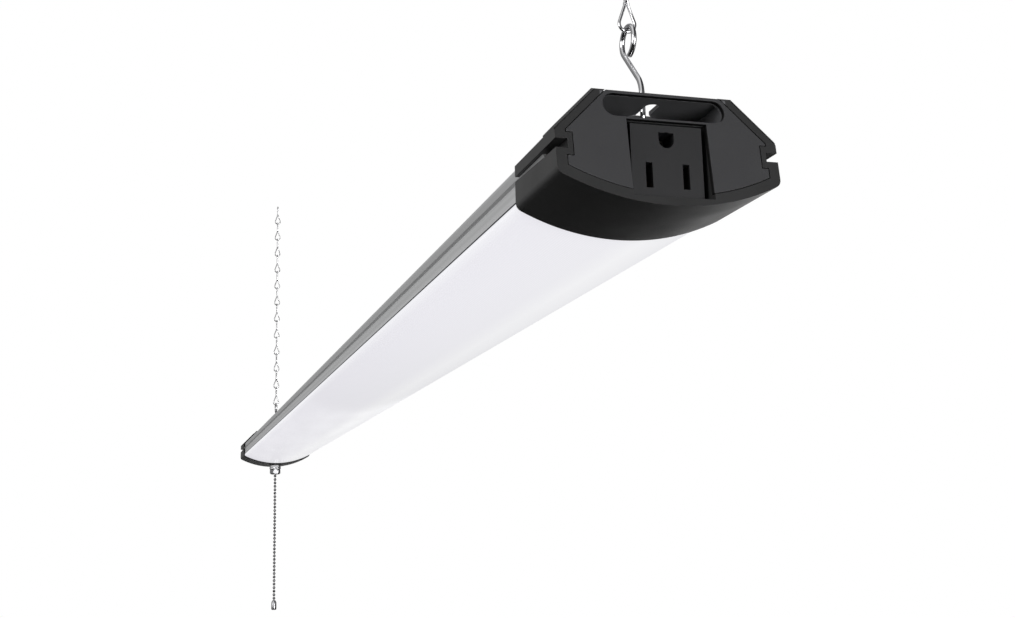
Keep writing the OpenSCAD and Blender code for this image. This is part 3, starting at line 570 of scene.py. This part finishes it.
def knurled(radius, turn):
    dip = knurl_depth * (0.5 - 0.5 * math.cos(turn * knurl_count))
    return radius - dip if radius > knurl_from else radius


def six_sided(radius, turn):
    flat = math.cos(math.pi / 6) / math.cos((turn + math.pi / 6) % (math.pi / 3) - math.pi / 6)
    return min(radius, nut_flat * flat) if radius > hex_from else radius


ring_profile = [(5.1, nut_foot), (6.0, nut_foot), (6.4, nut_foot + 0.5), (6.4, nut_top - 0.5),
                (6.0, nut_top), (5.1, nut_top), (5.1, nut_foot)]
placed("ribbed_ring", turned("ribbed_ring", ring_profile, 180, knurled), nickel, "switch_nut")
neck_profile = [(2.35, neck_foot + 0.6), (3.1, neck_foot), (4.9, neck_foot), (5.0, neck_foot + 0.3),
                (5.2, neck_foot + 0.6), (5.5, neck_foot + 0.6), (6.3, neck_foot + 1.1),
                (6.3, nut_foot - 0.6), (5.5, nut_foot - 0.1), (5.0, nut_foot - 0.1),
                (5.0, neck_top), (2.35, neck_top), (2.35, neck_foot + 0.6)]
placed("neck_and_nut", turned("neck_and_nut", neck_profile, 96, six_sided), nickel,
       "switch_bushing")
for node in ("switch_lock_nut", "pull_stem"):
    nickel.on(frame["nodes"][node])

string = Former("bead chain", Count=bead_count, Bead=bead_d * MM, Wire=1.0 * MM,
                Step=(0.0, 0.0, -bead_pitch * MM))
bead = string.node(
    "GeometryNodeMeshUVSphere", Segments=16, Rings=10, Radius=string.size["Bead"] / 2
)
lifted = string.node("GeometryNodeTransform", Geometry=bead,
                     Translation=(pull_x * MM, 0, (bead_z - bead_pitch) * MM))
beads = string.row(lifted, string.size["Count"], string.size["Step"])
line = string.node("GeometryNodeMeshToCurve", Mesh=string.drawn)
strand = string.tube(line, string.size["Wire"], 8)
strand_top = bead_z - bead_d / 2 - 0.2
strand_foot = bead_z - bead_count * bead_pitch - bead_pitch / 2
placed(
    "strung_beads",
    string.finished("strung_beads", [(pull_x, 0, strand_top), (pull_x, 0, strand_foot)], [(0, 1)],
                    dark_steel, string.both(beads, strand)),
    dark_steel, "pull_chain",
)
first_bead = [(bead_d / 2 * math.cos(a), bead_z + bead_d / 2 * math.sin(a))
              for a in (math.radians(-88 + 176 * i / 14) for i in range(15))]
placed("first_bead", turned("first_bead", first_bead, 20), dark_steel, "top_bead")
weight_profile = [
    (radius, strand_foot - drop)
    for radius, drop in ((0.6, 11), (2.1, 11), (2.6, 10.6), (2.9, 9.9), (2.9, 3.2), (2.6, 2.0),
                         (2.0, 0.8), (1.2, 0.1), (0.6, 0))
]
placed("turned_weight", turned("turned_weight", weight_profile, 32, crease=60), nickel,
       "chain_fob")


# Hooks. Each is one piece of plated wire: an open eye at the top for the chain, a slanting neck,
# and a bend at the foot that goes under the bar in the cap's pocket.
plated_wire = Finish("plated wire", Metallic=1.0, Specular_Tint=(0.3, 0.3, 0.31))
wear = plated_wire.noise(plated_wire.place, 700, 3)
plated_wire.set(
    Base_Color=plated_wire.between(wear, (0.66, 0.66, 0.67), (0.54, 0.54, 0.55)),
    Roughness=plated_wire.spread(wear, 0.3, 0.7, 0.1, 0.2),
)
hook_wire, eye_r, seat_r, seat_x, tip_h = 1.9, 5.3, 4.2, 5.5, 4
neck_r, slant = 10.0, math.radians(48)
hook_low, hook_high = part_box("near_hook")
far_low, far_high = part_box("far_top_link")
eye_z = hook_high[2] / MM - hook_wire / 2 - eye_r
far_x = (far_low[0] + far_high[0]) / 2 / MM


def arc(x, z, radius, first, last, steps):
    """Points of an arc in the upright plane through the lamp's length, in degrees."""
    turns = (math.radians(first + (last - first) * i / steps) for i in range(steps + 1))
    return [(x + radius * math.cos(turn), z + radius * math.sin(turn)) for turn in turns]


shank_x = seat_x + seat_r
seat_z = hook_low[2] / MM + hook_wire / 2 + seat_r
eye = arc(0, eye_z, eye_r, -80, 222, 40)
run = (shank_x - eye[-1][0] - neck_r * (1 - math.sin(slant))) / math.cos(slant)
bend_top = (eye[-1][0] + run * math.cos(slant), eye[-1][1] - run * math.sin(slant))
bend_z = bend_top[1] - neck_r * math.cos(slant)
hook_line = (
    eye + arc(shank_x - neck_r, bend_z, neck_r, 90 - math.degrees(slant), 0, 8)
    + arc(seat_x, seat_z, seat_r, 0, -180, 20) + [(seat_x - seat_r, seat_z + tip_h)]
)
for name, node, middle, way in (
    ("near_wire_hook", "near_hook", 0, 1), ("far_wire_hook", "far_hook", far_x, -1),
):
    bent = Former("bent wire " + node, Wire=hook_wire * MM)
    line = bent.node("GeometryNodeMeshToCurve", Mesh=bent.drawn)
    points = [(middle + way * x, 0, z) for x, z in hook_line]
    mesh = bent.finished(name, points, [(i, i + 1) for i in range(len(points) - 1)], plated_wire,
                         bent.tube(line, bent.size["Wire"], 16))
    placed(name, mesh, plated_wire, node)


# Jack chains. Every link is one wire bent into two loops at right angles, pinched at the waist, so
# each loop closes round the next link's.
link_wire, link_w, link_h, slack, twist_h = 1.1, 6.9, 20.3, 0.15, 1.6
loop_r, waist, pitch = (link_w - link_wire) / 2, link_wire / 2, link_h - slack
loop_z = link_h / 2 + link_wire / 2 - loop_r
lean = math.degrees(math.asin((loop_r - waist) / loop_z))
half_loop = [(loop_r * math.cos(a), loop_z + loop_r * math.sin(a))
             for a in (math.radians(-lean + (180 + 2 * lean) * i / 22) for i in range(23))]
twist = [(waist * math.cos(a), waist * math.sin(a), twist_h * (i / 6 - 0.5))
         for i, a in ((i, math.pi / 2 * (1 - i / 6)) for i in range(7))]
link_path = (
    [(r, 0, z) for r, z in half_loop]
    + [(-x, -y, z) for x, y, z in reversed(twist)]
    + [(0, -r, -z) for r, z in half_loop]
    + [(x, y, z) for x, y, z in twist]
)
for name, node, middle in (
    ("near_top_wire_link", "near_top_link", 0), ("near_second_wire_link", "near_second_link", 0),
    ("near_jack_chain", "near_chain", 0), ("far_top_wire_link", "far_top_link", far_x),
    ("far_second_wire_link", "far_second_link", far_x), ("far_jack_chain", "far_chain", far_x),
):
    low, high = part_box(node)
    top = high[2] / MM - link_wire
    count = round((high[2] - low[2]) / MM / pitch)
    jack = Former("jack chain " + node, Count=count, Wire=link_wire * MM,
                  Step=(0.0, 0.0, -pitch * MM))
    line = jack.node("GeometryNodeMeshToCurve", Mesh=jack.drawn)
    links = jack.row(jack.tube(line, jack.size["Wire"], 10), jack.size["Count"], jack.size["Step"])
    points = [(middle + x, y, top - link_h / 2 + z) for x, y, z in link_path]
    edges = [(i, (i + 1) % len(points)) for i in range(len(points))]
    placed(name, jack.finished(name, points, edges, plated_wire, links), plated_wire, node)


# Floor and light. The lamp hangs in a plain white studio, lit by large soft lamps that are hooded so
# that they light the lamp more than the floor. The floor is as far below as in a room.
floor_mesh = bpy.data.meshes.new("floor")
half, floor_z = 15, -2.44
corners = ((-half, -half), (half, -half), (half, half), (-half, half))
floor_mesh.from_pydata([(x, y, floor_z) for x, y in corners], [], [(0, 1, 2, 3)])
floor = bpy.data.objects.new("floor", floor_mesh)
scene.collection.objects.link(floor)
floor_paint = Finish("pale floor", Base_Color=(0.1, 0.1, 0.1), Roughness=0.9, Emission_Strength=1.0)
shown = floor_paint.node("ShaderNodeLightPath", output="Is Camera Ray")
floor_paint.set(Emission_Color=floor_paint.between(shown, (0, 0, 0), (1, 1, 1)))
floor_paint.on(floor)

world = bpy.data.worlds.new("studio")
scene.world = world
world.use_nodes = True
sky = Nodes(world.node_tree)
air = world.node_tree.nodes["Background"]
air.inputs["Color"].default_value = (1, 1, 1, 1)
air.inputs["Strength"].default_value = 0.04
toward = sky.node("ShaderNodeTexCoord", output="Generated")
facing = sky.node("ShaderNodeVectorMath", {"operation": "DOT_PRODUCT"}, output=1,
                  **{"0": toward, "1": (0.49, 0.87, 0)})
dark_side = sky.node(
    "ShaderNodeValToRGB",
    {"stops": [(0.0, (0.4, 0.4, 0.4)), (0.21, (0.38, 0.38, 0.38)), (0.29, (1, 1, 1)),
               (0.58, (1, 1, 1)), (0.68, (0.05, 0.05, 0.055)), (0.9, (0.08, 0.08, 0.085)),
               (1.0, (0.3, 0.3, 0.3))]},
    Fac=(facing + 1) * 0.5,
)
ray = world.node_tree.nodes.new("ShaderNodeLightPath")
seen = sky.node("ShaderNodeBackground", Color=(1, 1, 1), Strength=1.0)
mirrored = sky.node("ShaderNodeBackground", Color=dark_side, Strength=1.0)
shown = Value(sky, ray.outputs["Is Camera Ray"])
glossy = Value(sky, ray.outputs["Is Glossy Ray"])
soft = Value(sky, air.outputs[0])
indirect = sky.node("ShaderNodeMixShader", **{"0": glossy, "1": soft, "2": mirrored})
whole = sky.node("ShaderNodeMixShader", **{"0": shown, "1": indirect, "2": seen})
sky.link(world.node_tree.nodes["World Output"].inputs["Surface"], whole)


def studio_lamp(name, place, aim, size, power):
    light = bpy.data.lights.new(name, "AREA")
    light.shape = "RECTANGLE"
    light.size, light.size_y = size
    light.energy, light.spread = power, math.radians(60)
    holder = bpy.data.objects.new(name, light)
    scene.collection.objects.link(holder)
    holder.location = place
    holder.rotation_euler = (Vector(aim) - Vector(place)).to_track_quat("-Z", "Y").to_euler()


studio_lamp("front lamp", (2.3, 0.8, -0.8), (0, 0, -0.3), (2.2, 1.6), 13.5)
studio_lamp("side lamp", (1.0, -3.2, 0.25), (-0.1, 0, -0.3), (1.8, 1.8), 10)
studio_lamp("low lamp", (0.1, 1.6, -0.9), (0, 0, -0.31), (1.0, 0.6), 0.2)
